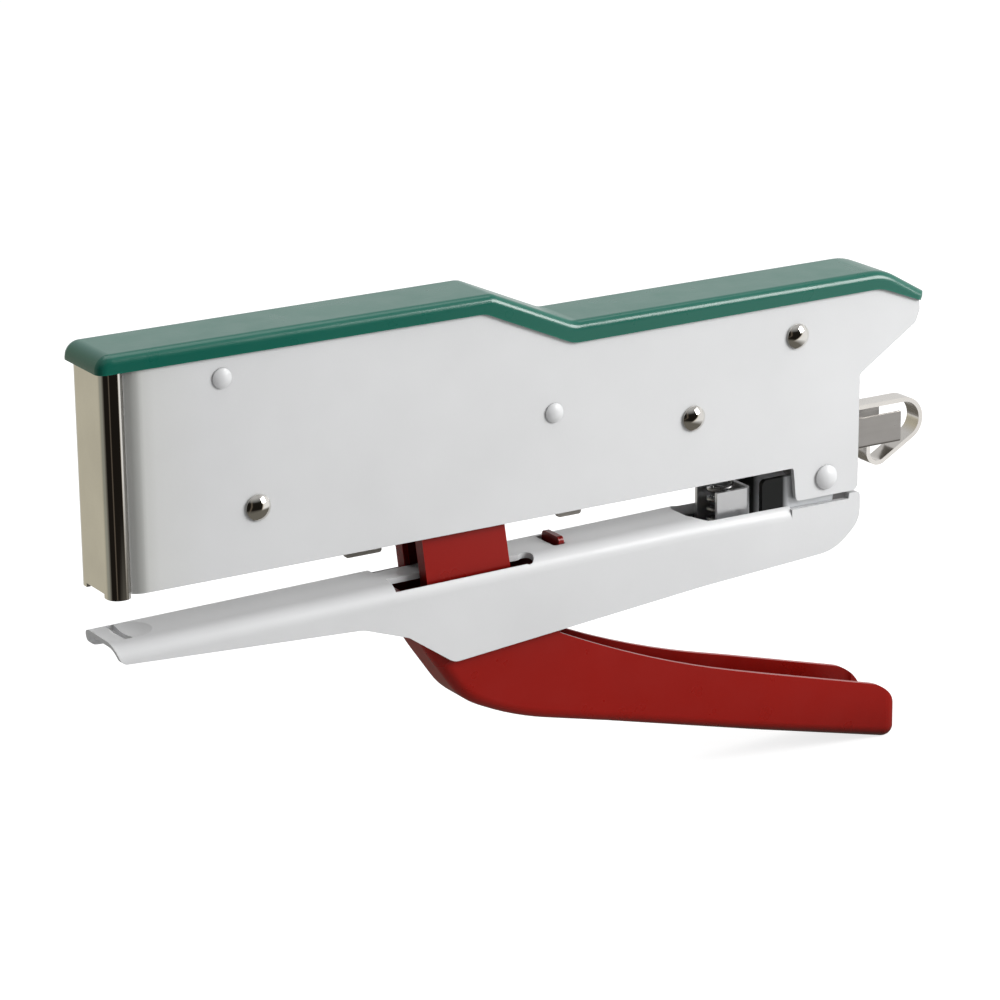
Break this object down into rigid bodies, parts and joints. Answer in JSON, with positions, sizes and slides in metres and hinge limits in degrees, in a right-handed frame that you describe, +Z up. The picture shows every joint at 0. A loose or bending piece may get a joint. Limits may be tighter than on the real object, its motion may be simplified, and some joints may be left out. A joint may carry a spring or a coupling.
{
  "type": "plier stapler",
  "caption": "Plier-type hand stapler with a stepped cover, a hinged anvil jaw, a red squeeze lever and a pull hook at the rear of the magazine.",
  "frame": {"origin": "centre of the bounding box in plan, at the height of the lever's heel, the lowest point", "axes": "+X from the nose plate to the tail, +Y across the casing, +Z up, with the casing's lower edge level"},
  "size_m": [0.164, 0.015, 0.0947],
  "materials": {
    "white_paint": "satin off-white paint on folded sheet",
    "green_paint": "semi-gloss green paint",
    "red_paint": "semi-gloss red paint",
    "chrome": "bright plated",
    "nickel": "bright nickel plated strip",
    "plain_steel": "plain cold rolled sheet",
    "zinc_steel": "zinc plated sheet",
    "spring_steel": "drawn spring wire and hardened strip"
  },
  "bodies": {
    "frame": {"casing": "white_paint", "top_cover": "green_paint", "nose_plate": "chrome", "blade_guide": "plain_steel", "arm_pivot_spacers": "plain_steel", "arm_return_spring": "spring_steel", "hinge_spacer": "plain_steel", "magazine_channel": "plain_steel", "front_hanger": "plain_steel", "mid_hanger": "plain_steel", "rear_hanger": "plain_steel", "front_rivet": "chrome", "rear_rivet": "chrome", "arm_pivot_rivet": "chrome", "jaw_hinge_rivet": "white_paint", "guide_rivet": "white_paint", "frame_rivet": "white_paint"},
    "jaw": {"jaw_shell": "white_paint", "jaw_bracket": "zinc_steel", "spring_cup": "zinc_steel", "jaw_return_spring": "spring_steel"},
    "handle": {"lever": "red_paint", "fulcrum_bar": "red_paint", "arm_studs": "spring_steel"},
    "driver": {"driver_arm": "plain_steel"},
    "blade": {"driver_blade": "spring_steel"},
    "pull": {"pull_hook": "nickel", "pusher_rod": "spring_steel", "rod_collar": "plain_steel", "pusher_spring": "spring_steel"},
    "pusher": {"pusher_block": "plain_steel"}
  },
  "joints": [
    {"name": "jaw_hinge", "type": "hinge", "parent": "frame", "child": "jaw", "pos_m": [0.05765, 0, 0.05198], "axis": [0, 1, 0], "range_deg": [0, 3], "deforming": ["jaw_return_spring"]},
    {"name": "lever_pivot", "type": "hinge", "parent": "jaw", "child": "handle", "pos_m": [0.00505, 0, 0.04508], "axis": [0, -1, 0], "range_deg": [0, 20], "stiffness_Nm_per_rad": 1.2, "springref_deg": -20.05},
    {"name": "driver_pivot", "type": "hinge", "parent": "frame", "child": "driver", "pos_m": [0.02965, 0, 0.06718], "axis": [0, -1, 0], "range_deg": [0, 3.85], "deforming": ["arm_return_spring"]},
    {"name": "blade_slide", "type": "slide", "parent": "frame", "child": "blade", "axis": [0, 0, -1], "range_m": [0, 0.0071]},
    {"name": "rod_slide", "type": "slide", "parent": "frame", "child": "pull", "axis": [1, 0, 0], "range_m": [0, 0.1]},
    {"name": "pusher_slide", "type": "slide", "parent": "pull", "child": "pusher", "axis": [1, 0, 0], "range_m": [0, 0.06], "stiffness_N_per_m": 40, "springref_m": -0.05, "deforming": ["pusher_spring"]}
  ],
  "couplings": [
    {"joint": "jaw_hinge", "follows": "lever_pivot", "ratio": 0.15},
    {"joint": "driver_pivot", "follows": "lever_pivot", "ratio": 0.19},
    {"joint": "blade_slide", "follows": "lever_pivot", "m_per_rad": 0.0202}
  ]
}
